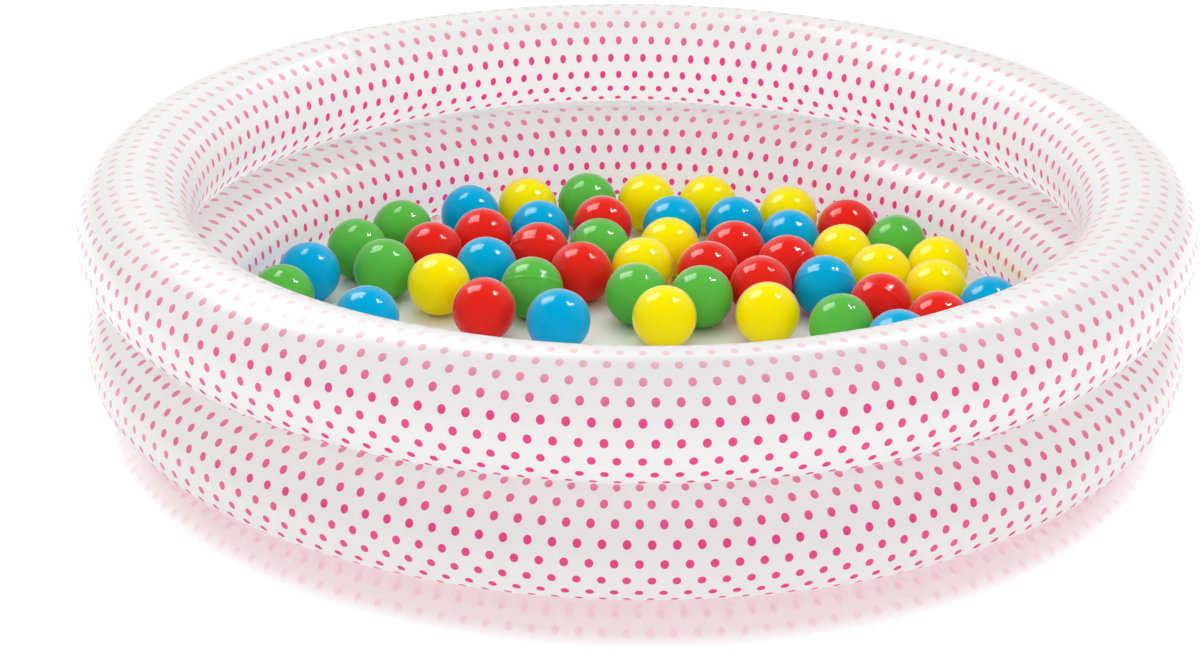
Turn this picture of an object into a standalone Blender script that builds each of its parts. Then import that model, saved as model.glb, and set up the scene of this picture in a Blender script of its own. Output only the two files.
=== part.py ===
"""Inflatable ball pit: two welded film rings, a floor sheet, two valves and fifty play balls.

Metres, +Z up. The pit stands on z = 0 with its middle on the Z axis, and the side
that faces -Y is its front. The rings are thin film shells that open at their valve
ports. Each ball rests on the floor sheet and lifts straight out over the rings.
"""

import math

import bmesh
import bpy
from mathutils import Matrix, Vector

# Film, the gap that is left between two pieces that touch, and what counts as one point
FILM = 0.0003
SEAT_GAP = 0.0003
MERGE_DISTANCE = 0.000001

# Facets of one ring, round the pit and round its tube. Both are multiples of four,
# so that a flat facet looks along each axis and lies at the top and the bottom.
RING_FACETS = 36
SECTION_FACETS = 16

# Weld between the rings: inner and outer film pressed together in an upright band.
# The middle of the upper ring's tube leans out from it and the lower one's leans in.
WELD_RADIUS = 0.47775
WELD_LEAN = 0.00725
WELD_BAND_HEIGHT = 0.0035
WELD_BAND_THICKNESS = 0.0008

# Upper ring: round tube
UPPER_HALF_WIDTH = 0.056
UPPER_HEIGHT = 0.113

# Lower ring: squashed a little by what it carries, so it bulges into the pit
LOWER_HALF_WIDTH = 0.067
LOWER_HEIGHT = 0.108

# Weld between the lower ring and the floor sheet
FLOOR_WELD_WIDTH = 0.010

# Inflation valve, one for each ring, pushed in at rest
VALVE_FACETS = 12
FLANGE_RADIUS = 0.014
FLANGE_THICKNESS = 0.0014
FLANGE_EDGE = 0.0006
FLANGE_TAPER = 0.003
STEM_RADIUS = 0.006
STEM_WALL = 0.0018
STEM_DEPTH = 0.017
STEM_LIP_RADIUS = 0.009
STEM_LIP_THICKNESS = 0.0012
PLUG_DEPTH = 0.008
PLUG_CAP_RADIUS = 0.0075
PLUG_CAP_THICKNESS = 0.0014
PLUG_RIM_WIDTH = 0.0012
PLUG_RIM_HEIGHT = 0.0006
VALVE_CLEARANCE = 0.0004
PORT_CLEARANCE = 0.001
CUT_OVERRUN = 0.004

# Which facet round the pit carries each valve, counted from +X: both are at the back
UPPER_VALVE_FACET = 12
LOWER_VALVE_FACET = 6

# Play balls: hollow, with a small vent
BALL_DIAMETER = 0.065
BALL_WALL = 0.0006
BALL_FACET_LEVEL = 2
VENT_RADIUS = 0.0015

# Settling the balls: how often they are pushed apart, and the gap that is left between them
SETTLE_PASSES = 400
BALL_GAP = 0.0005

# Where the balls lie, as shares of the clear radius inside the lower ring
BALL_PLACE_SHARES = {
    "red": [
        (-0.41, 0.61), (-0.54, 0.505), (-0.255, 0.51), (-0.38, 0.12), (-0.14, 0.375),
        (-0.09, 0.715), (0.265, 0.54), (0.19, 0.39), (0.325, 0.29), (0.575, 0.71),
        (0.4, 0.44), (0.625, 0.185), (0.76, 0.07),
    ],
    "yellow": [
        (-0.3, 0.85), (-0.505, 0.28), (0.03, 0.895), (0.2, 0.885), (0.09, 0.56),
        (0.02, 0.41), (0.075, 0.085), (0.42, 0.805), (0.55, 0.52), (0.64, 0.385),
        (0.335, 0.115), (0.795, 0.44), (0.775, 0.28),
    ],
    "green": [
        (-0.95, 0.205), (-0.74, 0.52), (-0.635, 0.67), (-0.655, 0.38), (-0.135, 0.89),
        (-0.265, 0.265), (-0.095, 0.545), (0.005, 0.23), (0.17, 0.22), (0.7, 0.595),
        (0.515, 0.045), (-0.7, -0.43),
    ],
    "blue": [
        (-0.86, 0.355), (-0.67, 0.06), (-0.455, 0.785), (-0.26, 0.675), (-0.39, 0.4),
        (-0.19, 0.055), (0.1, 0.72), (0.27, 0.72), (0.415, 0.625), (0.49, 0.3),
        (0.65, -0.05), (0.9, 0.17),
    ],
}

BALL_COLOURS = {"red": 0xE5202A, "yellow": 0xFFE500, "green": 0x4DB748, "blue": 0x00A6DE}
FILM_COLOUR = 0xF4EFEF
FLOOR_COLOUR = 0xF6F7F5
VALVE_COLOUR = 0xF2F2EE

# Middle line of each ring's tube, round the pit
UPPER_MAJOR_RADIUS = WELD_RADIUS + WELD_LEAN
LOWER_MAJOR_RADIUS = WELD_RADIUS - WELD_LEAN

# Heights of the stack, from the floor sheet up
FLOOR_TOP = FILM
LOWER_BASE = FLOOR_TOP + SEAT_GAP
LOWER_TOP = LOWER_BASE + LOWER_HEIGHT
WELD_BAND_BASE = LOWER_TOP + SEAT_GAP
WELD_BAND_TOP = WELD_BAND_BASE + WELD_BAND_HEIGHT
UPPER_BASE = WELD_BAND_TOP + SEAT_GAP

PIT_RADIUS = LOWER_MAJOR_RADIUS - LOWER_HALF_WIDTH
BALL_RADIUS = BALL_DIAMETER / 2


def clear_scene():
    for obj in list(bpy.data.objects):
        bpy.data.objects.remove(obj, do_unlink=True)


def linear_colour(rgb):
    """An sRGB hex colour as linear red, green, blue and alpha."""
    channels = [(rgb >> shift & 0xFF) / 0xFF for shift in (16, 8, 0)]
    linear = [c / 12.92 if c <= 0.04045 else ((c + 0.055) / 1.055) ** 2.4 for c in channels]
    return (*linear, 1.0)


def plastic(name, rgb, roughness):
    material = bpy.data.materials.new(name)
    material.use_nodes = True
    shader = material.node_tree.nodes["Principled BSDF"]
    shader.inputs["Base Color"].default_value = linear_colour(rgb)
    shader.inputs["Roughness"].default_value = roughness
    shader.inputs["Metallic"].default_value = 0.0
    return material


def place_mesh(name, mesh, material, parent=None, place=None):
    """One named object for a finished mesh, at a place in its parent's frame."""
    if not mesh.materials:
        mesh.materials.append(material)
    obj = bpy.data.objects.new(name, mesh)
    bpy.context.scene.collection.objects.link(obj)
    obj.parent = parent
    if place is not None:
        obj.matrix_local = place
    return obj


def mesh_from(bm, name):
    """The bmesh's mesh, shaded smooth but for its sharp edges."""
    bmesh.ops.recalc_face_normals(bm, faces=bm.faces)
    mesh = bpy.data.meshes.new(name)
    bm.to_mesh(mesh)
    bm.free()
    mesh.shade_smooth()
    mesh.set_sharp_from_angle(angle=math.radians(35))
    return mesh


def turned(name, outline, facets):
    """An outline of (radius, height) points turned about Z.

    One that starts on the axis also ends there, and any other is a closed loop. The
    corners lie outside the radius, so that each facet's middle is at it, and the
    first facet's middle looks along +X.
    """
    half_step = math.pi / facets
    start = Matrix.Rotation(-half_step, 3, "Z")
    bm = bmesh.new()
    verts = [bm.verts.new(start @ Vector((r / math.cos(half_step), 0, z))) for r, z in outline]
    following = verts[1:] if outline[0][0] == 0 else verts[1:] + verts[:1]
    edges = [bm.edges.new(pair) for pair in zip(verts, following)]
    bmesh.ops.spin(
        bm,
        geom=verts + edges,
        cent=(0, 0, 0),
        axis=(0, 0, 1),
        angle=2 * math.pi,
        steps=facets,
        use_merge=True,
    )
    bmesh.ops.remove_doubles(bm, verts=bm.verts, dist=MERGE_DISTANCE)
    return mesh_from(bm, name)


def tube_section(major_radius, half_width, height, base):
    """The ring's section: an oval of facets that just reaches its width and height."""
    half_step = math.pi / SECTION_FACETS
    reach = 1 / math.cos(half_step)
    middle = base + height / 2
    angles = [(2 * i + 1) * half_step for i in range(SECTION_FACETS)]
    return [
        (
            major_radius + half_width * reach * math.cos(angle),
            middle + height / 2 * reach * math.sin(angle),
        )
        for angle in angles
    ]


def valve_frame(name, ring_radius, middle, facet):
    """An empty on the film's outer face, with its Z axis pointing out along the valve."""
    angle = facet * 2 * math.pi / RING_FACETS
    frame = bpy.data.objects.new(name, None)
    bpy.context.scene.collection.objects.link(frame)
    outward = Matrix.Rotation(angle, 4, "Z") @ Matrix.Rotation(math.pi / 2, 4, "Y")
    frame.matrix_world = (
        Matrix.Translation((ring_radius * math.cos(angle), ring_radius * math.sin(angle), middle))
        @ outward
    )
    return frame


def add_ring(name, section, port_frame, material):
    """A film shell of the section's outer size, with a round valve port through it."""
    ring = place_mesh(name, turned(name, section, RING_FACETS), material)
    add_wall(ring, FILM)

    cutter_bm = bmesh.new()
    bmesh.ops.create_cone(
        cutter_bm,
        cap_ends=True,
        segments=VALVE_FACETS,
        radius1=STEM_RADIUS + PORT_CLEARANCE,
        radius2=STEM_RADIUS + PORT_CLEARANCE,
        depth=2 * CUT_OVERRUN,
    )
    port_cutter = place_mesh(
        name + "_port_cutter", mesh_from(cutter_bm, name + "_port"), material, port_frame
    )
    port_cutter.hide_render = True
    port_cutter.display_type = "WIRE"

    port = ring.modifiers.new("valve port", "BOOLEAN")
    port.operation = "DIFFERENCE"
    port.object = port_cutter


def flange_outline():
    """A tapered welding flange with the stem's bore through it."""
    bore = STEM_RADIUS + VALVE_CLEARANCE
    base = SEAT_GAP
    return [
        (bore, base),
        (FLANGE_RADIUS, base),
        (FLANGE_RADIUS, base + FLANGE_EDGE),
        (FLANGE_RADIUS - FLANGE_TAPER, base + FLANGE_THICKNESS),
        (bore, base + FLANGE_THICKNESS),
    ]


def stem_outline():
    """The stem's tube, with the lip that stops it on the flange."""
    lip_base = SEAT_GAP + FLANGE_THICKNESS + SEAT_GAP
    lip_top = lip_base + STEM_LIP_THICKNESS
    bore = STEM_RADIUS - STEM_WALL
    return [
        (bore, -STEM_DEPTH),
        (STEM_RADIUS, -STEM_DEPTH),
        (STEM_RADIUS, lip_base),
        (STEM_LIP_RADIUS, lip_base),
        (STEM_LIP_RADIUS, lip_top),
        (bore, lip_top),
    ]


def plug_outline():
    """A cap with a raised grip rim, on a spigot that fills the stem's bore."""
    seat = SEAT_GAP + FLANGE_THICKNESS + SEAT_GAP + STEM_LIP_THICKNESS + SEAT_GAP
    spigot = STEM_RADIUS - STEM_WALL - VALVE_CLEARANCE
    cap_top = seat + PLUG_CAP_THICKNESS
    inner_rim = PLUG_CAP_RADIUS - PLUG_RIM_WIDTH
    return [
        (0, seat - PLUG_DEPTH),
        (spigot, seat - PLUG_DEPTH),
        (spigot, seat),
        (PLUG_CAP_RADIUS, seat),
        (PLUG_CAP_RADIUS, cap_top + PLUG_RIM_HEIGHT),
        (inner_rim, cap_top + PLUG_RIM_HEIGHT),
        (inner_rim, cap_top),
        (0, cap_top),
    ]


def add_valve(name, frame, material):
    """The welded flange, the stem that pops out of it and the plug in the stem."""
    outlines = {"flange": flange_outline(), "stem": stem_outline(), "plug": plug_outline()}
    for piece, outline in outlines.items():
        piece_name = f"{name}_{piece}"
        place_mesh(piece_name, turned(piece_name, outline, VALVE_FACETS), material, frame)


def add_floor_sheet(material):
    """The plain sheet under the lower ring: what the pit stands on."""
    radius = (LOWER_MAJOR_RADIUS + FLOOR_WELD_WIDTH / 2) / math.cos(math.pi / RING_FACETS)
    turn = Matrix.Rotation(math.pi / RING_FACETS, 4, "Z")
    bm = bmesh.new()
    bmesh.ops.create_circle(bm, cap_ends=True, segments=RING_FACETS, radius=radius, matrix=turn)
    sides = bmesh.ops.extrude_face_region(bm, geom=bm.faces[:])
    raised = [item for item in sides["geom"] if isinstance(item, bmesh.types.BMVert)]
    bmesh.ops.translate(bm, verts=raised, vec=(0, 0, FLOOR_TOP))
    place_mesh("floor_sheet", mesh_from(bm, "floor_sheet"), material)


def add_weld_band(material):
    """The upright weld in the crease between the two rings."""
    inner = WELD_RADIUS - WELD_BAND_THICKNESS / 2
    outer = WELD_RADIUS + WELD_BAND_THICKNESS / 2
    outline = [
        (inner, WELD_BAND_BASE),
        (outer, WELD_BAND_BASE),
        (outer, WELD_BAND_TOP),
        (inner, WELD_BAND_TOP),
    ]
    place_mesh("ring_weld_band", turned("ring_weld_band", outline, RING_FACETS), material)


def ball_mesh(name):
    """A round skin. The lowest facet is drawn in round a small vent."""
    bm = bmesh.new()
    bmesh.ops.create_icosphere(bm, subdivisions=BALL_FACET_LEVEL, radius=BALL_RADIUS)
    lowest = min(bm.faces, key=lambda face: face.calc_center_median().z)
    vent = bmesh.ops.extrude_discrete_faces(bm, faces=[lowest])["faces"][0]
    middle = vent.calc_center_median()
    reach = max((vert.co - middle).length for vert in vent.verts)
    for vert in vent.verts:
        vert.co = middle.lerp(vert.co, VENT_RADIUS / reach)
    bmesh.ops.delete(bm, geom=[vent], context="FACES")
    return mesh_from(bm, name)


def add_wall(obj, thickness):
    """The wall that a skin gets on its inner side."""
    wall = obj.modifiers.new("wall", "SOLIDIFY")
    wall.thickness = thickness
    wall.offset = -1
    wall.use_even_offset = True


def ball_places():
    """Each colour's ball middles, pushed apart until none touches another or the ring."""
    places = {
        colour: [Vector(share) * PIT_RADIUS for share in shares]
        for colour, shares in BALL_PLACE_SHARES.items()
    }
    middles = [middle for group in places.values() for middle in group]
    apart = BALL_DIAMETER + BALL_GAP
    reach = PIT_RADIUS - BALL_RADIUS - BALL_GAP
    for _ in range(SETTLE_PASSES):
        for i, middle in enumerate(middles):
            for other in middles[i + 1 :]:
                between = other - middle
                short = apart - between.length
                if short > 0:
                    push = between.normalized() * (short / 2)
                    middle -= push
                    other += push
            if middle.length > reach:
                middle *= reach / middle.length
    return places


def add_balls():
    """The loose balls, resting on the floor sheet."""
    height = FLOOR_TOP + SEAT_GAP + BALL_RADIUS
    for colour, middles in ball_places().items():
        mesh = ball_mesh(f"ball_{colour}")
        material = plastic(f"ball_{colour}", BALL_COLOURS[colour], 0.15)
        for number, middle in enumerate(middles, 1):
            place = Matrix.Translation((middle.x, middle.y, height))
            ball = place_mesh(f"ball_{colour}_{number:02d}", mesh, material, place=place)
            add_wall(ball, BALL_WALL)


def build():
    clear_scene()
    film = plastic("pit_film", FILM_COLOUR, 0.25)
    valve = plastic("valve", VALVE_COLOUR, 0.35)
    lower_section = tube_section(
        LOWER_MAJOR_RADIUS, LOWER_HALF_WIDTH, LOWER_HEIGHT, LOWER_BASE
    )
    upper_section = tube_section(
        UPPER_MAJOR_RADIUS, UPPER_HALF_WIDTH, UPPER_HEIGHT, UPPER_BASE
    )
    lower_frame = valve_frame(
        "lower_valve_frame",
        LOWER_MAJOR_RADIUS + LOWER_HALF_WIDTH,
        LOWER_BASE + LOWER_HEIGHT / 2,
        LOWER_VALVE_FACET,
    )
    upper_frame = valve_frame(
        "upper_valve_frame",
        UPPER_MAJOR_RADIUS + UPPER_HALF_WIDTH,
        UPPER_BASE + UPPER_HEIGHT / 2,
        UPPER_VALVE_FACET,
    )
    add_floor_sheet(plastic("floor_sheet", FLOOR_COLOUR, 0.2))
    add_ring("lower_ring", lower_section, lower_frame, film)
    add_weld_band(film)
    add_ring("upper_ring", upper_section, upper_frame, film)
    add_valve("lower_valve", lower_frame, valve)
    add_valve("upper_valve", upper_frame, valve)
    add_balls()


build()
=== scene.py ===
"""Inflatable ball pit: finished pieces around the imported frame, with a plain studio stage."""

import math

import bmesh
import bpy
from bpy.props import FloatProperty, FloatVectorProperty, IntProperty, PointerProperty
from mathutils import Matrix, Vector, noise


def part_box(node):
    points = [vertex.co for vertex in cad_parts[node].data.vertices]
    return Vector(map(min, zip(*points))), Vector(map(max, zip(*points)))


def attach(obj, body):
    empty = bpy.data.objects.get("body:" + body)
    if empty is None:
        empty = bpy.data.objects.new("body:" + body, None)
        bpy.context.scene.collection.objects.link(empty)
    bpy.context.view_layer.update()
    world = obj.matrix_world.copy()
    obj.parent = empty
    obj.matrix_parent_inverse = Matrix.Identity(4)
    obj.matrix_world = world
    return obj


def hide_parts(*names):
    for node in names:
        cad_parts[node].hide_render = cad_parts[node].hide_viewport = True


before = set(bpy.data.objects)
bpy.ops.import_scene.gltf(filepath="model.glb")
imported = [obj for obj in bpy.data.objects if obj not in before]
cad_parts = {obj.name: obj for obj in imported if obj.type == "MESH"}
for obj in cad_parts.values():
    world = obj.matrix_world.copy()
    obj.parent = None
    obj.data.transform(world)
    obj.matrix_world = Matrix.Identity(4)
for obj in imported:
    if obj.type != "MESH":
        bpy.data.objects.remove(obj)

bl_info = {
    "name": "Inflatable Ball Pit",
    "version": (1, 0, 0),
    "blender": (4, 5, 0),
    "location": "View3D > Sidebar > Ball Pit",
    "description": "Makes the film rings, floor sheet, valves and play balls of a round ball pit",
    "category": "Object",
}

UP = Vector((0, 0, 1))
FULL_TURN = 2 * math.pi

# What the glossy veil of the film and the balls reflects with, how softly a dot's edge
# ends, and how quickly the painted highlight pales the print as the film turns up
GLOSS_COLOUR = "#EFF0EF"
DOT_EDGE = 0.06
PAINTED_HIGHLIGHT_STEEPNESS = 2.7

# The sizes in millimetres of the plain film's waves, of the valves' grain (drawn coarser
# than the real one, so that it shows) and of the unevenness in a ball's skin
FILM_WAVE_MM = 45.5
VALVE_GRAIN_MM = 0.625
BALL_SKIN_MM = 14.3

# The values between which most of Blender's noise lies
NOISE_LOW, NOISE_HIGH = 0.35, 0.65

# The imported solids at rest, which every finished piece takes its place from
UPPER_LOW, UPPER_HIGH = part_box("upper_ring")
LOWER_LOW, LOWER_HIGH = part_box("lower_ring")
BAND_LOW, BAND_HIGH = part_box("ring_weld_band")
FLOOR_LOW, FLOOR_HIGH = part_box("floor_sheet")
OUTER_REACH = {"upper": UPPER_HIGH.x, "lower": LOWER_HIGH.x}
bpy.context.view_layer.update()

# Steps of a ring round the pit and round its tube, of the floor sheet and of a valve
ROUND_STEPS = 720
TUBE_STEPS = 72
SHEET_STEPS = 180
SHEET_RINGS = 47
VALVE_STEPS = 48
SPIN_PARTS = 12
MERGE_DISTANCE = 1e-5

# Where each film is printed: from and to which angle round the tube it reaches, its
# columns round the pit, the angle of a column in an even row, and that of row 0 round
# the tube, with the step to the next row. Angles are in degrees. Round the tube they
# run from the outer side over the top, and round the pit from +X to the left.
UPPER_FILMS = (
    (-97.4, 98.0, 165, 265.38, 0.4, 17.4),
    (98.0, 262.6, 150, 78.43, 108.0, 20.1),
)
LOWER_FILMS = (
    (-90.0, 83.8, 164, 264.11, 72.5, -16.9),
    (83.8, 270.0, 144, 78.01, 92.2, 20.2),
)

# Angles of the welds round each tube that gather the film, and round the pit of the
# weld that closes the film strip
UPPER_WELDS, UPPER_SIDE_SEAM = (-97.4,), 133.5
LOWER_WELDS, LOWER_SIDE_SEAM = (83.8, -90.0), 136.4

# The film's slow swell, in waves per metre. Its gathers: roughly the welds' radius in metres,
# how narrow a fold is, how slowly the folds' strength changes, and the weakest that counts.
SWELL_WAVES = (5.0, 12.0)
GATHER_RADIUS = 0.48
GATHER_SHARPNESS = 3.2
GATHER_DRIFT = 0.23
LEAST_FADE = 0.02

# The flat seat of a valve: its radius, the width over which it ends and its depth, in metres
SEAT_RADIUS = 0.0145
SEAT_BLEND = 0.012
SEAT_DEPTH = 0.02

# The weld in the crease: how far it stands in from the CAD's edge, half its thickness,
# its ripple in metres and the ripples per metre
WELD_INSET = 0.0004
WELD_HALF_THICKNESS = 0.0006
WELD_RIPPLE = 0.0006
WELD_RIPPLES = 55

# The floor sheet's ripple in metres, the width of its flat edge and its waves per metre
SHEET_RIPPLE = 0.0005
SHEET_EDGE = 0.03
SHEET_WAVES = (11.0, 31.0)

# The rounding of a moulded edge in metres, and the angle in radians that counts as an edge
VALVE_ROUNDING = 0.00022
SHARP_ANGLE = 0.6

# Which way the balls' parting lines face, where one shows: the line's own axis. On the other
# balls the axis points at the camera, so that the line hides at the outline, and leans by
# that share in a way that differs from ball to ball.
PARTING_AXES = {
    "red_01": (0.993, -0.11, 0.05),
    "red_03": (0.07, 0.754, 0.657),
    "red_11": (-0.605, 0.297, 0.737),
    "red_12": (0.545, 0.67, 0.504),
    "blue_10": (0.0, 0.8, 0.6),
    "green_06": (0.0, 0.69, 0.72),
}
VIEW_AXIS = Vector((0.0, -0.92, 0.39))
LEAN = 0.3
LEAN_STEPS = (2.4, 3.7, 5.1)

# The studio floor: half its width and how far it lies below the pit, in metres. The pit's
# real shadow is painted pink and deeper round a point a little in front of its middle, and
# the painted shadow clears between two distances.
FLOOR_HALF_WIDTH = 9
FLOOR_DROP = 0.0004
PAINTED_SHADOW_MIDDLE = (0.0, -0.07, 0.0)
PAINTED_SHADOW_START = 0.468
PAINTED_SHADOW_END = 0.542

# What the lamps point at
LAMP_TARGET = Vector((0, 0.1, 0.08))

# The photograph's camera: place in metres, its turn, tilt and roll in radians, and the
# width of its sensor in millimetres
CAMERA_PLACE = Vector((0, -2.4557, 1.1012))
CAMERA_YAW, CAMERA_PITCH, CAMERA_ROLL = -0.0140, 0.4086, 0.0068
SENSOR_WIDTH = 36


def linear(hex_colour):
    """An sRGB hex colour such as "#E5202A" as linear red, green and blue."""
    value = int(hex_colour.lstrip("#"), 16)
    channels = [(value >> shift & 0xFF) / 0xFF for shift in (16, 8, 0)]
    return tuple(c / 12.92 if c <= 0.04045 else ((c + 0.055) / 1.055) ** 2.4 for c in channels)


def colour_property(name, description, hex_colour):
    return FloatVectorProperty(
        name=name, description=description, default=linear(hex_colour),
        subtype="COLOR", min=0, max=1,
    )


def length_property(name, description, metres):
    return FloatProperty(name=name, description=description, default=metres, unit="LENGTH")


def share_property(name, description, share):
    return FloatProperty(
        name=name, description=description, default=share, subtype="FACTOR", min=0, max=1
    )


class FilmSettings(bpy.types.PropertyGroup):
    """Sizes and colours of the two film rings, the weld and the floor sheet."""

    upper_half_width: length_property("Upper Half Width", "Half the upper tube's width", 0.056)
    lower_half_width: length_property("Lower Half Width", "Half the lower tube's width", 0.067)
    swell: length_property("Swell", "How far the film's slow waves stand out", 0.0009)
    pucker: length_property("Pucker", "Depth of the gathers along a weld", 0.0022)
    pucker_reach: length_property("Pucker Reach", "How far the gathers run from a weld", 0.027)
    pucker_spacing: length_property("Pucker Spacing", "Distance between two gathers", 0.012)
    weld_height: length_property("Weld Height", "Height of the weld in the crease", 0.0062)
    seam_depth: length_property(
        "Side Seam Depth", "How deep the strip's end weld pulls the film in", 0.0012
    )
    seam_reach: length_property(
        "Side Seam Reach", "How far from its end weld the film is pulled in", 0.004
    )
    dot_width: share_property(
        "Dot Width", "A dot's width as a share of the column spacing", 0.35
    )
    dot_height: share_property(
        "Dot Height", "A dot's height as a share of the row spacing", 0.48
    )
    see_through: share_property("See Through", "Share of the light that the film passes on", 0.84)
    haze: share_property("Haze", "How far gloss veils the print edge-on", 0.72)
    # Painted highlight: how far the print is painted paler where the film faces up, in place of
    # light from above that veils it
    painted_top_highlight: share_property(
        "Paling", "How far the milky film pales the print where it faces up", 0.6
    )
    film_colour: colour_property("Film", "The milky film between the dots", "#F5FBFA")
    ink_colour: colour_property("Ink", "The printed dots", "#EE3A8A")
    floor_colour: colour_property("Floor Sheet", "The plain sheet under the balls", "#FAFDF9")


class BallSettings(bpy.types.PropertyGroup):
    """Colours of the balls and the size of their parting line."""

    red: colour_property("Red", "Red balls", "#EE2A20")
    yellow: colour_property("Yellow", "Yellow balls", "#FFF000")
    green: colour_property("Green", "Green balls", "#60C44B")
    blue: colour_property("Blue", "Blue balls", "#00B4E4")
    see_through: share_property(
        "See Through", "Share of the light that the thin shell passes on", 0.25
    )
    line_width: length_property("Line Width", "Width of the parting line", 0.002)
    line_height: length_property("Line Height", "How far the line stands proud", 0.0005)
    round_steps: IntProperty(name="Steps", description="Steps round a ball", default=64)


class ValveSettings(bpy.types.PropertyGroup):
    """Sizes and colour of the two inflation valves."""

    flange_radius: length_property("Flange Radius", "Radius of the welded flange", 0.014)
    stem_radius: length_property("Stem Radius", "Radius of the stem's tube", 0.006)
    lip_radius: length_property("Lip Radius", "Radius of the lip at the stem's end", 0.009)
    cap_radius: length_property("Cap Radius", "Radius of the plug's cap", 0.0075)
    valve_colour: colour_property("Valve", "The moulded valve pieces", "#D9DBD8")


class StageSettings(bpy.types.PropertyGroup):
    """The studio: its floor, its light and the camera."""

    floor_colour: colour_property("Studio Floor", "The floor that the pit stands on", "#F6F4F4")
    # Painted shadow: the camera sees the floor in a cyan tint and, near the pit, a pink and dim
    # glow, so the floor is painted pink and darker round the pit and white further off
    painted_shadow_tint: colour_property("Seen Floor", "The floor's own colour in the picture", "#AAE1E1")
    painted_shadow_glow: colour_property("Shadow Glow", "What the floor adds near the pit", "#AD3F45")
    clear_glow: colour_property("Clear Glow", "What the floor adds away from the pit", "#E5DDDE")
    low_fill: FloatProperty(
        name="Low Fill", description="Strength of the light from the horizon", default=1.52
    )
    high_fill: FloatProperty(
        name="High Fill", description="Strength of the light from straight above", default=0.75
    )
    overhead_light: FloatProperty(
        name="Overhead", description="Brightness of the large overhead lamp", default=1.13
    )
    table_glow: FloatProperty(
        name="Table Glow", description="Light that the white table gives from below", default=0.42
    )
    ball_fill: FloatProperty(
        name="Ball Fill", description="Brightness of the soft lamp on the balls", default=1.15
    )
    oval_light: FloatProperty(
        name="Oval", description="Brightness of the oval lamp seen in the balls", default=20.0
    )
    soft_light: FloatProperty(
        name="Soft Box", description="Brightness of the wide lamp seen in the film", default=6.0
    )
    strip_light: FloatProperty(
        name="Strip", description="Brightness of the long lamp seen in the film", default=6.5
    )
    spot_light: FloatProperty(
        name="Spots", description="Brightness of the small lamps seen in the balls", default=200.0
    )
    lens: FloatProperty(
        name="Lens", description="Focal length on a 36 mm sensor", default=80.28, unit="CAMERA"
    )


def node(tree, kind, inputs=None, **settings):
    """Adds one shader node. An input is a value, or the output socket of another node."""
    made = tree.nodes.new("ShaderNode" + kind)
    for name, value in settings.items():
        setattr(made, name, value)
    for name, value in (inputs or {}).items():
        if isinstance(value, bpy.types.NodeSocket):
            tree.links.new(value, made.inputs[name])
        else:
            made.inputs[name].default_value = value
    return made


def new_material(name, colour, **finish):
    """A Principled material, its tree and its shader. Finish names the shader's own sockets."""
    material = bpy.data.materials.new(name)
    material.use_nodes = True
    shader = material.node_tree.nodes["Principled BSDF"]
    shader.inputs["Base Color"].default_value = (*colour, 1)
    for socket, value in finish.items():
        shader.inputs[socket.replace("_", " ")].default_value = value
    return material, material.node_tree, shader


def uneven_roughness(tree, shader, low, high, spacing):
    """Roughness that drifts between two values over patches of that size in metres."""
    place = node(tree, "TexCoord").outputs["Object"]
    patches = node(tree, "TexNoise", {"Vector": place, "Scale": 1 / spacing, "Detail": 2.0})
    drift = node(
        tree, "MapRange",
        {
            "Value": patches.outputs["Fac"], "From Min": NOISE_LOW, "From Max": NOISE_HIGH,
            "To Min": low, "To Max": high,
        },
    )
    tree.links.new(drift.outputs["Result"], shader.inputs["Roughness"])
    return place


def let_light_through(tree, shader, colour, share):
    """Mixes in the light that a thin film passes on from its other side."""
    through = node(tree, "BsdfTranslucent", {"Color": colour})
    both = node(tree, "MixShader", {"Fac": share})
    tree.links.new(shader.outputs["BSDF"], both.inputs[1])
    tree.links.new(through.outputs["BSDF"], both.inputs[2])
    tree.links.new(both.outputs["Shader"], tree.nodes["Material Output"].inputs["Surface"])
    return both


def upward_share(tree):
    """How far the surface faces up: 1 for a top, 0 for an upright side, -1 for an underside."""
    normal = node(tree, "NewGeometry").outputs["Normal"]
    return node(tree, "SeparateXYZ", {"Vector": normal}).outputs["Z"]


def haze_over(tree, body, least, most, steepness, roughness):
    """Milky gloss: faint when faced, and strong enough edge-on to veil the colour beneath it.

    A surface that looks down reflects the dim side of the ring and keeps more of its colour.
    """
    facing = node(tree, "LayerWeight", {"Blend": 0.5}).outputs["Facing"]
    steep = node(tree, "Math", {0: facing, 1: steepness}, operation="POWER").outputs[0]
    share = node(tree, "MapRange", {"Value": steep, "To Min": least, "To Max": most})
    kept = node(
        tree, "MapRange",
        {"Value": upward_share(tree), "From Min": -0.5, "From Max": 0.1, "To Min": 0.1},
    ).outputs["Result"]
    veil = node(tree, "Math", {0: share.outputs["Result"], 1: kept}, operation="MULTIPLY")
    gloss = node(
        tree, "BsdfGlossy", {"Color": (*linear(GLOSS_COLOUR), 1), "Roughness": roughness}
    )
    both = node(tree, "MixShader", {"Fac": veil.outputs[0]})
    tree.links.new(body, both.inputs[1])
    tree.links.new(gloss.outputs["BSDF"], both.inputs[2])
    tree.links.new(both.outputs["Shader"], tree.nodes["Material Output"].inputs["Surface"])


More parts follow.
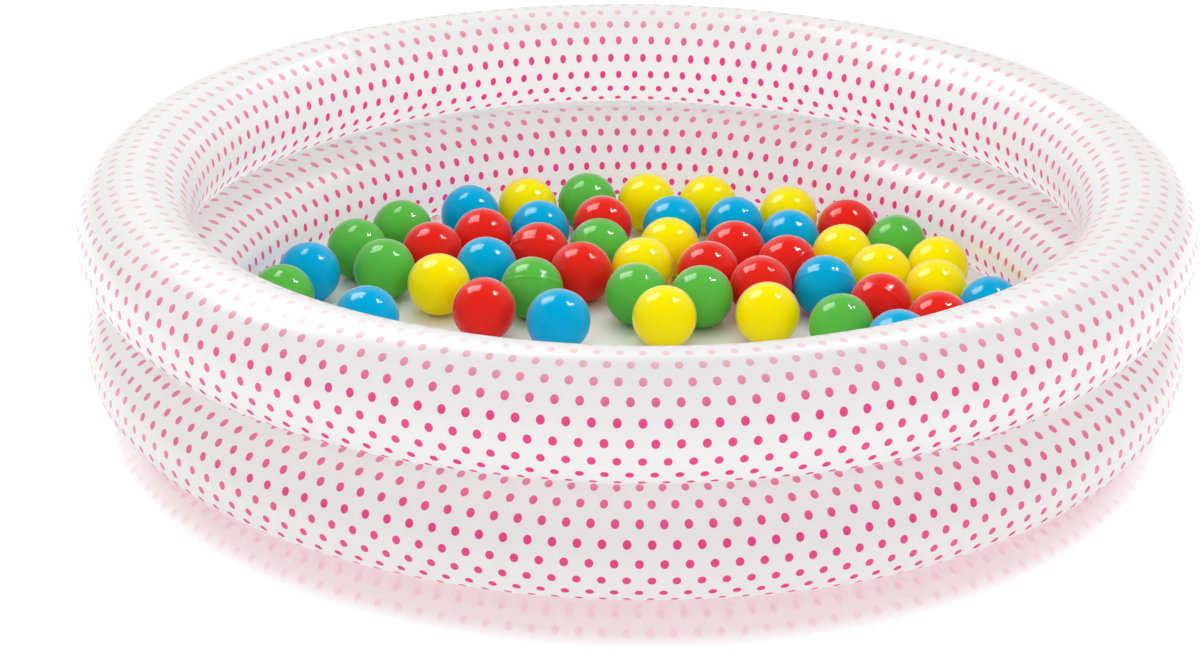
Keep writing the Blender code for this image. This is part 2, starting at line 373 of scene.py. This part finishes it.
def printed_film(film):
    """Printed PVC film, calendered smooth: milky, glossy, with rows of staggered ink dots, painted
    paler where the film faces up as a painted highlight.
    """
    material, tree, shader = new_material("printed_pvc_film", film.film_colour, IOR=1.53)
    place_on_ring = uneven_roughness(tree, shader, low=0.26, high=0.36, spacing=0.05)
    print_map = node(tree, "UVMap", uv_map="print")
    place = node(tree, "SeparateXYZ", {"Vector": print_map.outputs["UV"]})
    column, row = place.outputs["X"], place.outputs["Y"]
    nearest_row = node(tree, "Math", {0: row}, operation="ROUND").outputs[0]
    odd = node(tree, "Math", {0: nearest_row, 1: 2.0}, operation="FLOORED_MODULO").outputs[0]
    staggered = node(
        tree, "Math", {0: odd, 1: 0.5, 2: column}, operation="MULTIPLY_ADD"
    ).outputs[0]
    nearest_column = node(tree, "Math", {0: staggered}, operation="ROUND").outputs[0]
    across = node(
        tree, "Math", {0: staggered, 1: nearest_column}, operation="SUBTRACT"
    ).outputs[0]
    along = node(tree, "Math", {0: row, 1: nearest_row}, operation="SUBTRACT").outputs[0]
    offset = node(tree, "CombineXYZ", {"X": across, "Y": along}).outputs[0]
    scaled = node(
        tree, "VectorMath",
        {0: offset, 1: (2 / film.dot_width, 2 / film.dot_height, 0)},
        operation="MULTIPLY",
    )
    reach = node(tree, "VectorMath", {0: scaled.outputs["Vector"]}, operation="LENGTH")
    ink = node(
        tree, "MapRange",
        {"Value": reach.outputs["Value"], "From Min": 1 + DOT_EDGE, "From Max": 1 - DOT_EDGE},
        interpolation_type="SMOOTHSTEP",
    )
    # Painted highlight: the print is painted paler where the film faces up, and less on the lower
    # ring, as painted shade under the upper one
    lifted = node(tree, "Math", {0: upward_share(tree), 1: 0.0}, operation="MAXIMUM").outputs[0]
    lit = node(tree, "Math", {0: lifted, 1: PAINTED_HIGHLIGHT_STEEPNESS}, operation="POWER").outputs[0]
    height = node(tree, "SeparateXYZ", {"Vector": place_on_ring}).outputs["Z"]
    # Painted shade: the lower ring, under the upper one, gets only a quarter of the painted
    # highlight
    open_above = node(
        tree, "MapRange",
        {"Value": height, "From Min": 0.1, "From Max": 0.16, "To Min": 0.25, "To Max": 1.0},
    ).outputs["Result"]
    painted_highlight_mask = node(tree, "Math", {0: lit, 1: open_above}, operation="MULTIPLY").outputs[0]
    kept = node(
        tree, "MapRange", {"Value": painted_highlight_mask, "To Min": 1.0, "To Max": 1 - film.painted_top_highlight}
    ).outputs["Result"]
    strength = node(
        tree, "Math", {0: ink.outputs["Result"], 1: kept}, operation="MULTIPLY"
    ).outputs[0]
    colour = node(
        tree, "MixRGB",
        {"Fac": strength, "Color1": (*film.film_colour, 1), "Color2": (*film.ink_colour, 1)},
    )
    tree.links.new(colour.outputs["Color"], shader.inputs["Base Color"])
    body = let_light_through(tree, shader, colour.outputs["Color"], film.see_through)
    haze_over(
        tree, body.outputs["Shader"], least=0.03, most=film.haze, steepness=2.0, roughness=0.32
    )
    return material


def plain_film(name, colour):
    """Plain PVC film: glossy, with the faint waves that film keeps from its roll."""
    material, tree, shader = new_material(name, colour, IOR=1.53)
    place = uneven_roughness(tree, shader, low=0.16, high=0.26, spacing=0.04)
    waves = node(tree, "TexNoise", {"Vector": place, "Scale": 1000 / FILM_WAVE_MM, "Detail": 1.0})
    bump = node(
        tree, "Bump",
        {"Height": waves.outputs["Fac"], "Strength": 0.25, "Distance": 0.004},
    )
    tree.links.new(bump.outputs["Normal"], shader.inputs["Normal"])
    return material


def moulded_valve(colour):
    """Soft PVC, injection moulded: satin, off-white, with a fine moulded grain."""
    material, tree, shader = new_material("moulded_soft_pvc", colour, IOR=1.53)
    place = uneven_roughness(tree, shader, low=0.36, high=0.46, spacing=0.004)
    grain = node(
        tree, "TexNoise", {"Vector": place, "Scale": 1000 / VALVE_GRAIN_MM, "Detail": 2.0}
    )
    bump = node(
        tree, "Bump",
        {"Height": grain.outputs["Fac"], "Strength": 0.15, "Distance": 0.0002},
    )
    tree.links.new(bump.outputs["Normal"], shader.inputs["Normal"])
    return material


def blow_moulded_ball(name, colour, share):
    """Blow-moulded polyethylene: glossy and dense in colour, its skin very slightly uneven."""
    material, tree, shader = new_material(name, colour, IOR=1.5, Specular_IOR_Level=0.15)
    body = let_light_through(tree, shader, (*colour, 1), share)
    haze_over(
        tree, body.outputs["Shader"], least=0.0, most=0.9, steepness=6.0, roughness=0.35
    )
    place = uneven_roughness(tree, shader, low=0.04, high=0.07, spacing=0.012)
    skin = node(tree, "TexNoise", {"Vector": place, "Scale": 1000 / BALL_SKIN_MM, "Detail": 1.0})
    bump = node(
        tree, "Bump",
        {"Height": skin.outputs["Fac"], "Strength": 0.12, "Distance": 0.0006},
    )
    tree.links.new(bump.outputs["Normal"], shader.inputs["Normal"])
    return material


def finish_piece(bm, name, material, body, slot, *nodes):
    """Turns a bmesh into a piece that rides on a body and stands for CAD nodes."""
    mesh = bpy.data.meshes.new(name)
    bm.to_mesh(mesh)
    bm.free()
    mesh.shade_smooth()
    mesh.materials.append(material)
    piece = bpy.data.objects.new(name, mesh)
    bpy.context.scene.collection.objects.link(piece)
    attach(piece, body)
    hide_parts(*nodes)
    return piece


def lit_group(name):
    """The pieces that share their own studio lamps."""
    return bpy.data.collections.get(name) or bpy.data.collections.new(name)


def spin_outline(bm, verts, edges, steps):
    """Turns an outline full circle about Z: one twelfth is spun, copied round and joined."""
    share = FULL_TURN / SPIN_PARTS
    bmesh.ops.spin(
        bm, geom=verts + edges, cent=(0, 0, 0), axis=UP, angle=share, steps=steps // SPIN_PARTS
    )
    first = bm.verts[:] + bm.edges[:] + bm.faces[:]
    for part in range(1, SPIN_PARTS):
        copied = bmesh.ops.duplicate(bm, geom=first)["geom"]
        moved = [item for item in copied if isinstance(item, bmesh.types.BMVert)]
        bmesh.ops.rotate(
            bm, verts=moved, cent=(0, 0, 0), matrix=Matrix.Rotation(part * share, 3, "Z")
        )
    bmesh.ops.remove_doubles(bm, verts=bm.verts, dist=MERGE_DISTANCE)
    bmesh.ops.recalc_face_normals(bm, faces=bm.faces)


def smooth_step(value):
    """Eases from 0 to 1 as the value goes from 0 to 1."""
    value = min(max(value, 0.0), 1.0)
    return value * value * (3 - 2 * value)


def valve_place(name):
    """(middle of the valve on the film, its outward axis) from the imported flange."""
    low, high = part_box(f"{name}_valve_flange")
    middle = (low + high) / 2
    axis = Vector((middle.x, middle.y, 0)).normalized()
    return middle, axis


class TubeForm:
    """The oval tube of one ring: its middle line, half sizes and the angles on it."""

    def __init__(self, low, high, half_width):
        self.half_width = half_width
        self.half_height = (high.z - low.z) / 2
        self.major = high.x - half_width
        self.middle = (high.z + low.z) / 2
        self.reach = (half_width + self.half_height) / 2

    def angles(self, point):
        """Angle round the pit from +X, and round the tube from the outer side over the top."""
        turn = math.degrees(math.atan2(point.y, point.x))
        out = (math.hypot(point.x, point.y) - self.major) / self.half_width
        around = math.degrees(math.atan2((point.z - self.middle) / self.half_height, out))
        return turn, around


def near(angle, other):
    """The angle, with whole turns added so that it is the nearest to another."""
    return angle + 360 * round((other - angle) / 360)


def gather(point, spacing, seed):
    """How deep the film is gathered there, from 0 to 1: narrow folds of uneven spacing."""
    turn = math.atan2(point.y, point.x)
    round_pit = Vector((math.cos(turn), math.sin(turn), 0)) * (GATHER_RADIUS / spacing)
    fold = 1 - abs(noise.noise(round_pit + Vector((0, 0, seed)))) * GATHER_SHARPNESS
    strength = 0.55 + 0.45 * noise.noise(round_pit * GATHER_DRIFT + Vector((0, 0, seed + 7.7)))
    return max(fold, 0.0) ** 1.5 * strength


def ease_film(bm, tube, film, welds, side_seam, axis, seed):
    """Gives the film its slow swell, its gathers at the welds and a flat seat for the valve.

    The welded ends of the film strip pull in a shallow line across the tube at side_seam.
    The valve's own axis points out of the film.
    """
    seat = axis * (tube.major + tube.half_width) + UP * tube.middle
    long_wave, short_wave = SWELL_WAVES
    bm.normal_update()
    moves = []
    for vert in bm.verts:
        place = vert.co
        turn, around = tube.angles(place)
        slow = noise.noise(place * long_wave + Vector((seed, 0, 0)))
        shift = film.swell * (slow + 0.5 * noise.noise(place * short_wave))
        for weld in welds:
            away = math.radians(abs(near(around, weld) - weld)) * tube.reach
            fade = math.exp(-((away / film.pucker_reach) ** 2))
            if fade > LEAST_FADE:
                shift -= film.pucker * fade * gather(place, film.pucker_spacing, seed + weld)
        aside = math.radians(near(turn, side_seam) - side_seam) * tube.major
        shift -= film.seam_depth * math.exp(-((aside / film.seam_reach) ** 2))
        moves.append(vert.normal * shift)
    for vert, move in zip(bm.verts, moves):
        vert.co += move
        local = vert.co - seat
        out = local.dot(axis)
        aside = (local - axis * out).length
        hold = 1 - smooth_step((aside - SEAT_RADIUS) / SEAT_BLEND)
        if out > -SEAT_DEPTH and hold > 0:
            vert.co -= axis * (out * hold)


def print_film(bm, tube, films):
    """Lays the print's columns and rows on the film, one map for each welded film."""
    layer = bm.loops.layers.uv.new("print")
    bm.verts.index_update()
    angles = [tube.angles(vert.co) for vert in bm.verts]
    for face in bm.faces:
        face_turn, face_round = tube.angles(face.calc_center_median())
        for start, end, columns, first_turn, first_row, row_step in films:
            if start <= near(face_round, (start + end) / 2) <= end:
                break
        face_round = near(face_round, (start + end) / 2)
        for loop in face.loops:
            turn, around = angles[loop.vert.index]
            turn, around = near(turn, face_turn), near(around, face_round)
            loop[layer].uv = ((turn - first_turn) / 360 * columns, (around - first_row) / row_step)


class BALLPIT_OT_film_rings(bpy.types.Operator):
    """Make the two inflated film rings with their printed dots"""

    bl_idname = "ballpit.film_rings"
    bl_label = "Film Rings"

    def execute(self, context):
        film = context.scene.ballpit_film
        material = printed_film(film)
        rings = (
            (
                "upper", TubeForm(UPPER_LOW, UPPER_HIGH, film.upper_half_width),
                UPPER_FILMS, UPPER_WELDS, UPPER_SIDE_SEAM,
            ),
            (
                "lower", TubeForm(LOWER_LOW, LOWER_HIGH, film.lower_half_width),
                LOWER_FILMS, LOWER_WELDS, LOWER_SIDE_SEAM,
            ),
        )
        for seed, (name, tube, films, welds, side_seam) in enumerate(rings, 1):
            bm = bmesh.new()
            outline = bmesh.ops.create_circle(bm, segments=TUBE_STEPS, radius=1)["verts"]
            upright = (
                Matrix.Translation((tube.major, 0, tube.middle))
                @ Matrix.Rotation(math.pi / 2, 4, "X")
                @ Matrix.Diagonal((tube.half_width, tube.half_height, 1, 1))
            )
            bmesh.ops.transform(bm, matrix=upright, verts=outline)
            spin_outline(bm, bm.verts[:], bm.edges[:], ROUND_STEPS)
            print_film(bm, tube, films)
            ease_film(bm, tube, film, welds, side_seam, valve_place(name)[1], 3.1 * seed)
            ring = finish_piece(
                bm, f"{name}_film_ring", material, "pit", "ring_film", f"{name}_ring"
            )
            lit_group("film_rings").objects.link(ring)
        return {"FINISHED"}


class BALLPIT_OT_weld_and_floor(bpy.types.Operator):
    """Make the weld in the crease and the floor sheet under the balls"""

    bl_idname = "ballpit.weld_and_floor"
    bl_label = "Weld and Floor Sheet"

    def execute(self, context):
        film = context.scene.ballpit_film
        self.make_weld(film)
        self.make_floor(film)
        return {"FINISHED"}

    def make_weld(self, film):
        """Both films pressed together: a thin upright band with rounded edges."""
        height = (BAND_LOW.z + BAND_HIGH.z) / 2
        radius = BAND_HIGH.x - WELD_INSET
        bm = bmesh.new()
        outline = bmesh.ops.create_circle(bm, segments=12, radius=1)["verts"]
        upright = (
            Matrix.Translation((radius, 0, height))
            @ Matrix.Rotation(math.pi / 2, 4, "X")
            @ Matrix.Diagonal((WELD_HALF_THICKNESS, film.weld_height / 2, 1, 1))
        )
        bmesh.ops.transform(bm, matrix=upright, verts=outline)
        spin_outline(bm, bm.verts[:], bm.edges[:], ROUND_STEPS)
        for vert in bm.verts:
            outward = Vector((vert.co.x, vert.co.y, 0))
            ripple = WELD_RIPPLE * noise.noise(outward * WELD_RIPPLES)
            vert.co += outward.normalized() * ripple
        material = plain_film("welded_pvc_film", film.film_colour)
        finish_piece(bm, "crease_weld", material, "pit", "ring_film", "ring_weld_band")

    def make_floor(self, film):
        """The sheet lies flat, with low ripples between its weld and the balls."""
        radius = FLOOR_HIGH.x
        thickness = FLOOR_HIGH.z - FLOOR_LOW.z
        bm = bmesh.new()
        ends = [bm.verts.new((0, 0, 0)), bm.verts.new((radius, 0, 0))]
        line = bm.edges.new(ends)
        bmesh.ops.subdivide_edges(bm, edges=[line], cuts=SHEET_RINGS)
        spin_outline(bm, bm.verts[:], bm.edges[:], SHEET_STEPS)
        upward = sum(face.normal.z for face in bm.faces)
        if upward < 0:
            bmesh.ops.reverse_faces(bm, faces=bm.faces)
        long_wave, short_wave = SHEET_WAVES
        for vert in bm.verts:
            inside = smooth_step((radius - vert.co.xy.length) / SHEET_EDGE)
            wave = 0.5 + 0.5 * noise.noise(vert.co * long_wave)
            wave += 0.25 * noise.noise(vert.co * short_wave)
            vert.co.z = thickness + SHEET_RIPPLE * inside * max(wave, 0.0)
        extruded = bmesh.ops.extrude_face_region(bm, geom=bm.faces[:])["geom"]
        lowered = [item for item in extruded if isinstance(item, bmesh.types.BMVert)]
        bmesh.ops.translate(bm, verts=lowered, vec=(0, 0, -thickness))
        bmesh.ops.recalc_face_normals(bm, faces=bm.faces)
        sheet = finish_piece(
            bm, "floor_film", plain_film("floor_pvc_film", film.floor_colour), "pit", "floor_film",
            "floor_sheet",
        )


class BALLPIT_OT_valves(bpy.types.Operator):
    """Make the flange, the stem and the plug of both valves"""

    bl_idname = "ballpit.valves"
    bl_label = "Inflation Valves"

    def execute(self, context):
        valve = context.scene.ballpit_valve
        material = moulded_valve(valve.valve_colour)
        for name in ("upper", "lower"):
            middle, axis = valve_place(name)
            seat = axis * OUTER_REACH[name] + UP * middle.z
            side = UP.cross(axis)
            frame_matrix = Matrix((side, UP, axis)).transposed().to_4x4()
            frame_matrix.translation = seat
            for piece, outline, body in self.outlines(valve):
                bm = bmesh.new()
                verts = [bm.verts.new((radius, 0, height)) for radius, height in outline]
                closing = verts[1:] if outline[0][0] == 0 else verts[1:] + verts[:1]
                edges = [bm.edges.new(pair) for pair in zip(verts, closing)]
                spin_outline(bm, verts, edges, VALVE_STEPS)
                if piece == "plug":
                    self.add_pull_tab(bm, valve)
                sharp = [
                    edge for edge in bm.edges
                    if edge.is_manifold and edge.calc_face_angle(0) > SHARP_ANGLE
                ]
                bmesh.ops.bevel(
                    bm, geom=sharp, offset=VALVE_ROUNDING, offset_type="OFFSET", affect="EDGES",
                    segments=2, profile=0.5, material=-1, clamp_overlap=True,
                )
                bmesh.ops.recalc_face_normals(bm, faces=bm.faces)
                bmesh.ops.transform(bm, matrix=frame_matrix, verts=bm.verts)
                target = "pit" if body is None else f"{name}_{body}"
                finish_piece(
                    bm, f"{name}_{piece}", material, target, "valve", f"{name}_valve_{piece}"
                )
        return {"FINISHED"}

    def outlines(self, valve):
        """(piece, its outline, the body that it rides on).

        An outline lists radius and height above the film, in metres. The flange has two low
        ribs round its bore, the stem a lip at its outer end, and the plug a tapered spigot
        under a cap with a raised rim.
        """
        bore = valve.stem_radius + 0.0004
        rim = valve.flange_radius
        tube_bore = valve.stem_radius - 0.0018
        flange = [
            (bore, 0.0003), (rim, 0.0003), (rim, 0.0009), (rim - 0.0015, 0.0013),
            (rim - 0.0022, 0.0011), (rim - 0.0029, 0.0014), (rim - 0.0036, 0.0012),
            (rim - 0.0043, 0.0016), (bore, 0.0017),
        ]
        stem = [
            (tube_bore, -0.017), (valve.stem_radius, -0.017), (valve.stem_radius, 0.002),
            (valve.lip_radius, 0.002), (valve.lip_radius, 0.0032), (tube_bore, 0.0032),
        ]
        spigot = tube_bore - 0.0004
        cap = valve.cap_radius
        plug = [
            (0, -0.0045), (spigot - 0.0006, -0.0045), (spigot, -0.0035), (spigot, 0.0035),
            (cap, 0.0035), (cap, 0.0055), (cap - 0.0012, 0.0055), (cap - 0.0012, 0.0049),
            (0, 0.0049),
        ]
        return (("flange", flange, None), ("stem", stem, "stem"), ("plug", plug, "plug"))

    def add_pull_tab(self, bm, valve):
        """A small tongue at the cap's edge that a finger lifts."""
        tab = bmesh.ops.create_cube(bm, size=1)["verts"]
        shape = Matrix.Translation((0, -valve.cap_radius - 0.0012, 0.0046)) @ Matrix.Diagonal(
            (0.0052, 0.005, 0.0012, 1)
        )
        bmesh.ops.transform(bm, matrix=shape, verts=tab)


class BALLPIT_OT_balls(bpy.types.Operator):
    """Make the loose play balls in their four colours"""

    bl_idname = "ballpit.balls"
    bl_label = "Play Balls"

    def execute(self, context):
        settings = context.scene.ballpit_balls
        names = [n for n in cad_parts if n.startswith("ball_")]
        low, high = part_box(names[0])
        radius = (high.z - low.z) / 2
        master = self.plain_ball(settings, radius)
        materials = {
            colour: blow_moulded_ball(
                f"{colour}_polyethylene", getattr(settings, colour), settings.see_through
            )
            for colour in ("red", "yellow", "green", "blue")
        }
        for order, name in enumerate(sorted(names)):
            body = name.removeprefix("ball_")
            colour = body.split("_")[0]
            low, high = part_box(name)
            turn = UP.rotation_difference(self.parting_axis(body, order)).to_matrix().to_4x4()
            bm = master.copy()
            place = Matrix.Translation((low + high) / 2) @ turn
            bmesh.ops.transform(bm, matrix=place, verts=bm.verts)
            ball = finish_piece(
                bm, f"{body}_ball", materials[colour], body, f"ball_{colour}", name
            )
            lit_group("play_balls").objects.link(ball)
        master.free()
        return {"FINISHED"}

    def plain_ball(self, settings, radius):
        """A sphere with a raised parting line round its middle."""
        bm = bmesh.new()
        steps = settings.round_steps
        bmesh.ops.create_uvsphere(bm, u_segments=steps, v_segments=steps // 2, radius=radius)
        for side in (-1, 1):
            bmesh.ops.bisect_plane(
                bm,
                geom=bm.verts[:] + bm.edges[:] + bm.faces[:],
                plane_co=(0, 0, side * settings.line_width / 2),
                plane_no=(0, 0, side),
            )
        for vert in bm.verts:
            if abs(vert.co.z) < settings.line_width / 8:
                vert.co += Vector((vert.co.x, vert.co.y, 0)).normalized() * settings.line_height
        return bm

    def parting_axis(self, body, order):
        """Where a ball's line faces: chosen for those that show it, else close to its outline."""
        if body in PARTING_AXES:
            return Vector(PARTING_AXES[body]).normalized()
        first, second, third = (order * step for step in LEAN_STEPS)
        lean = Vector((math.sin(first), math.cos(second), math.sin(third)))
        return (VIEW_AXIS + lean * LEAN).normalized()


class BALLPIT_OT_stage(bpy.types.Operator):
    """Make the studio floor, the lamps, the world and the camera"""

    bl_idname = "ballpit.stage"
    bl_label = "Stage"

    def execute(self, context):
        settings = context.scene.ballpit_stage
        context.scene.view_settings.view_transform = "Standard"
        self.make_floor(settings)
        self.make_world(context, settings)
        self.make_lamps(context, settings)
        self.make_camera(context, settings)
        return {"FINISHED"}

    def make_floor(self, settings):
        """A plain white studio floor with the pit's soft real shadow, painted pink and deeper near
        the pit, and its faint mirror image.

        The camera sees a painted tint and a painted shadow glow that is pink and dim near the pit
        and white further off.
        All other rays meet plain white with an even glow.
        """
        bm = bmesh.new()
        bmesh.ops.create_grid(bm, x_segments=4, y_segments=4, size=FLOOR_HALF_WIDTH)
        mesh = bpy.data.meshes.new("studio_floor")
        bm.to_mesh(mesh)
        bm.free()
        material, tree, shader = new_material(
            "studio_floor_paint", settings.floor_colour, Roughness=0.05, IOR=2.0
        )
        # Painted shadow tint: the camera sees the floor in a cyan tint, which turns the real
        # shadow pink where the glow does not lift it to white
        seen = node(tree, "LightPath").outputs["Is Camera Ray"]
        tint = node(
            tree, "MixRGB",
            {
                "Fac": seen, "Color1": (*settings.floor_colour, 1),
                "Color2": (*settings.painted_shadow_tint, 1),
            },
        )
        tree.links.new(tint.outputs["Color"], shader.inputs["Base Color"])
        # Painted shadow: near the pit the glow that the camera sees is pink and dim, so the floor
        # is painted pink and darker there, and white further off
        away = node(
            tree, "VectorMath",
            {0: node(tree, "TexCoord").outputs["Object"], 1: PAINTED_SHADOW_MIDDLE},
            operation="DISTANCE",
        )
        clear = node(
            tree, "MapRange",
            {"Value": away.outputs["Value"], "From Min": PAINTED_SHADOW_START, "From Max": PAINTED_SHADOW_END},
            interpolation_type="SMOOTHSTEP",
        ).outputs["Result"]
        shade = node(
            tree, "MixRGB",
            {
                "Fac": clear, "Color1": (*settings.painted_shadow_glow, 1),
                "Color2": (*settings.clear_glow, 1),
            },
        )
        glow = node(
            tree, "MixRGB",
            {
                "Fac": seen, "Color1": (*[settings.table_glow] * 3, 1),
                "Color2": shade.outputs["Color"],
            },
        )
        tree.links.new(glow.outputs["Color"], shader.inputs["Emission Color"])
        shader.inputs["Emission Strength"].default_value = 1.0
        mesh.materials.append(material)
        floor = bpy.data.objects.new("studio_floor", mesh)
        bpy.context.scene.collection.objects.link(floor)
        floor.location.z = -FLOOR_DROP

    def make_world(self, context, settings):
        """White to the camera and in reflections, and an even fill for the rest."""
        world = bpy.data.worlds.new("studio_world")
        context.scene.world = world
        world.use_nodes = True
        tree = world.node_tree
        background = tree.nodes["Background"]
        path = node(tree, "LightPath")
        looking = node(tree, "TexCoord").outputs["Generated"]
        direction = node(tree, "SeparateXYZ", {"Vector": looking})
        height, behind = direction.outputs["Z"], direction.outputs["Y"]
        fill = node(
            tree, "MapRange",
            {"Value": height, "To Min": settings.low_fill, "To Max": settings.high_fill},
        )
        # Reflections show a ceiling that darkens upwards and a dim side behind the camera
        ceiling = node(
            tree, "MapRange",
            {"Value": height, "From Min": 0.57, "From Max": 0.87, "To Min": 1.0, "To Max": 0.15},
        )
        backdrop = node(
            tree, "MapRange",
            {"Value": behind, "From Min": -0.7, "From Max": 0.1, "To Min": 0.25, "To Max": 1.0},
        )
        room = node(
            tree, "Math", {0: ceiling.outputs["Result"], 1: backdrop.outputs["Result"]},
            operation="MULTIPLY",
        )
        in_gloss = node(
            tree, "MapRange",
            {
                "Value": path.outputs["Is Glossy Ray"], "To Min": fill.outputs["Result"],
                "To Max": room.outputs[0],
            },
        )
        strength = node(
            tree, "MapRange",
            {
                "Value": path.outputs["Is Camera Ray"], "To Min": in_gloss.outputs["Result"],
                "To Max": 1.0,
            },
        )
        background.inputs["Color"].default_value = (1, 1, 1, 1)
        tree.links.new(strength.outputs["Result"], background.inputs["Strength"])

    def make_lamps(self, context, settings):
        """One lamp overhead lights all and another the balls; the rest are only seen as gloss."""
        spot = settings.spot_light
        side_spot = spot * 0.6
        # Name, direction from the pit, distance, width and length in metres, turn in degrees,
        # brightness, the only pieces that it lights, and whether it lights or shows as gloss
        lamps = (
            ("overhead", (0.0, 0.3, 0.95), 2.8, 2.6, 2.6, 0,
             settings.overhead_light, None, True),
            ("ball_fill", (0.1, -0.6, 0.8), 2.6, 2.0, 1.6, 0,
             settings.ball_fill, "play_balls", True),
            ("oval_left", (-0.491, 0.359, 0.793), 2.3, 1.4, 1.1, 115,
             settings.oval_light, "play_balls", False),
            ("spot_main", (0.528, 0.061, 0.845), 2.4, 0.26, 0.26, 0, spot, "play_balls", False),
            ("spot_left", (0.44, 0.175, 0.88), 2.4, 0.2, 0.24, 0, side_spot, "play_balls", False),
            ("spot_right", (0.62, 0.2, 0.758), 2.4, 0.2, 0.24, 0, side_spot, "play_balls", False),
            ("soft_left", (-0.42, 0.40, 0.815), 2.3, 2.1, 0.6, 0,
             settings.soft_light, "film_rings", False),
            ("strip_right", (0.36, 0.49, 0.79), 2.4, 1.3, 0.22, 0,
             settings.strip_light, "film_rings", False),
        )
        for name, direction, away, width, length, turn, brightness, group, lights_up in lamps:
            data = bpy.data.lights.new(name, "AREA")
            data.shape = "RECTANGLE"
            data.size = width
            data.size_y = length
            data.energy = brightness * math.pi * width * length
            lamp = bpy.data.objects.new(name, data)
            toward = Vector(direction).normalized()
            lamp.location = LAMP_TARGET + toward * away
            roll = Matrix.Rotation(math.radians(turn), 3, "Z")
            lamp.rotation_euler = (toward.to_track_quat("Z", "Y").to_matrix() @ roll).to_euler()
            lamp.visible_camera = False
            lamp.visible_diffuse = lights_up
            lamp.visible_glossy = not lights_up
            if group:
                lamp.light_linking.receiver_collection = lit_group(group)
            context.scene.collection.objects.link(lamp)

    def make_camera(self, context, settings):
        """The photograph's place, tilt, roll and focal length."""
        level = math.cos(CAMERA_PITCH)
        forward = Vector(
            (math.sin(CAMERA_YAW) * level, math.cos(CAMERA_YAW) * level, -math.sin(CAMERA_PITCH))
        )
        right = forward.cross(UP).normalized()
        upward = right.cross(forward)
        rolled_right = right * math.cos(CAMERA_ROLL) + upward * math.sin(CAMERA_ROLL)
        rolled_up = upward * math.cos(CAMERA_ROLL) - right * math.sin(CAMERA_ROLL)
        data = bpy.data.cameras.new("photo_camera")
        data.lens = settings.lens
        data.sensor_width = SENSOR_WIDTH
        camera = bpy.data.objects.new("photo_camera", data)
        turn = Matrix((rolled_right, rolled_up, -forward)).transposed().to_4x4()
        camera.matrix_world = Matrix.Translation(CAMERA_PLACE) @ turn
        context.scene.collection.objects.link(camera)
        context.scene.camera = camera


class BALLPIT_PT_pieces(bpy.types.Panel):
    """The ball pit's pieces, in the order in which they are made"""

    bl_label = "Ball Pit"
    bl_idname = "BALLPIT_PT_pieces"
    bl_space_type = "VIEW_3D"
    bl_region_type = "UI"
    bl_category = "Ball Pit"

    def draw(self, context):
        for operator in OPERATORS:
            self.layout.operator(operator.bl_idname)
        for group in SETTINGS:
            settings = getattr(context.scene, group)
            box = self.layout.box()
            for name in settings.__annotations__:
                box.prop(settings, name)


SETTINGS = {
    "ballpit_film": FilmSettings,
    "ballpit_balls": BallSettings,
    "ballpit_valve": ValveSettings,
    "ballpit_stage": StageSettings,
}
OPERATORS = (
    BALLPIT_OT_film_rings,
    BALLPIT_OT_weld_and_floor,
    BALLPIT_OT_valves,
    BALLPIT_OT_balls,
    BALLPIT_OT_stage,
)


def register():
    for group in SETTINGS.values():
        bpy.utils.register_class(group)
    for operator in OPERATORS:
        bpy.utils.register_class(operator)
    bpy.utils.register_class(BALLPIT_PT_pieces)
    for name, group in SETTINGS.items():
        setattr(bpy.types.Scene, name, PointerProperty(type=group))


def unregister():
    for name in SETTINGS:
        delattr(bpy.types.Scene, name)
    bpy.utils.unregister_class(BALLPIT_PT_pieces)
    for operator in reversed(OPERATORS):
        bpy.utils.unregister_class(operator)
    for group in reversed(SETTINGS.values()):
        bpy.utils.unregister_class(group)


def main():
    register()
    bpy.ops.ballpit.film_rings()
    bpy.ops.ballpit.weld_and_floor()
    bpy.ops.ballpit.valves()
    bpy.ops.ballpit.balls()
    bpy.ops.ballpit.stage()


if __name__ == "__main__":
    main()
